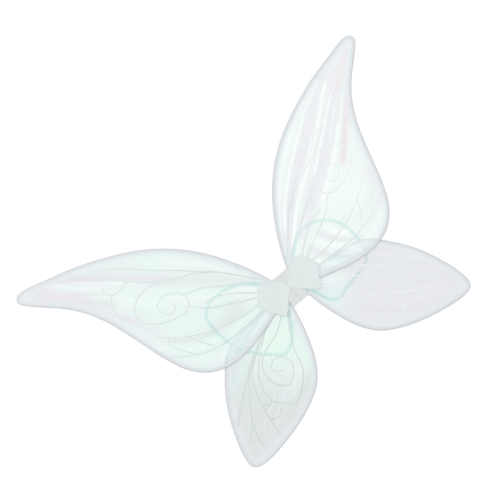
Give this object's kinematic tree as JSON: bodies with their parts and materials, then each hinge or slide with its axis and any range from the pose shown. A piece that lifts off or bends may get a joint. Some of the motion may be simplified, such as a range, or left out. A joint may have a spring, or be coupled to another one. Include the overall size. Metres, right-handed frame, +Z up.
{
  "type": "fairy wings",
  "caption": "Wearable fairy wings: translucent film lobes on wire loops, sewn in lace sleeves that fold at the middle, with a back pad and elastic arm loops.",
  "frame": {"origin": "middle of the back pad's flat face, where it rests on the wearer's back", "axes": "+X along the span to the wings' right as seen from behind the wearer, +Y into the wearer's back, +Z up the back"},
  "size_m": [0.7966, 0.0328, 0.5096],
  "materials": {
    "film": "thin pleated iridescent film, glossy",
    "edge_tape": "folded sheer tape, satin",
    "glitter": "fine silver glitter line",
    "steel_wire": "drawn wire",
    "ferrule": "crimped",
    "lace": "fine knitted lace, matt",
    "pad_cover": "brushed knit",
    "foam": "open-cell foam",
    "elastic": "ribbed flat elastic",
    "thread": "polyester thread"
  },
  "bodies": {
    "pad": {"spine_strip": "lace", "pad_front_cover": "pad_cover", "pad_foam": "foam", "pad_back_cover": "pad_cover", "strap_ends_left": "elastic", "strap_ends_right": "elastic", "bar_tacks": "thread"},
    "half_left": {"wire_fore_left": "steel_wire", "wire_hind_left": "steel_wire", "front_film_fore_left": "film", "front_film_hind_left": "film", "rear_film_fore_left": "film", "rear_film_hind_left": "film", "edge_tape_fore_left": "edge_tape", "edge_tape_hind_left": "edge_tape", "veins_fore_left": "glitter", "veins_hind_left": "glitter", "sleeve_front_left": "lace", "sleeve_rear_left": "lace", "lace_band_left": "lace", "wire_ferrules_left": "ferrule", "root_tape_left": "pad_cover"},
    "half_right": {"wire_fore_right": "steel_wire", "wire_hind_right": "steel_wire", "front_film_fore_right": "film", "front_film_hind_right": "film", "rear_film_fore_right": "film", "rear_film_hind_right": "film", "edge_tape_fore_right": "edge_tape", "edge_tape_hind_right": "edge_tape", "veins_fore_right": "glitter", "veins_hind_right": "glitter", "sleeve_front_right": "lace", "sleeve_rear_right": "lace", "lace_band_right": "lace", "wire_ferrules_right": "ferrule", "root_tape_right": "pad_cover"},
    "loop_left": {"strap_left": "elastic"},
    "loop_right": {"strap_right": "elastic"}
  },
  "joints": [
    {"name": "fold_left", "type": "hinge", "parent": "pad", "child": "half_left", "pos_m": [-0.0024, -0.0113, 0], "axis": [0, 0, 1], "range_deg": [0, 84]},
    {"name": "fold_right", "type": "hinge", "parent": "pad", "child": "half_right", "pos_m": [0.0024, -0.0113, 0], "axis": [0, 0, -1], "range_deg": [0, 84]},
    {"name": "swing_loop_left", "type": "hinge", "parent": "pad", "child": "loop_left", "pos_m": [-0.0244, -0.0035, 0], "axis": [0, 0, -1], "range_deg": [0, 95]},
    {"name": "swing_loop_right", "type": "hinge", "parent": "pad", "child": "loop_right", "pos_m": [0.0244, -0.0035, 0], "axis": [0, 0, 1], "range_deg": [0, 95]}
  ]
}
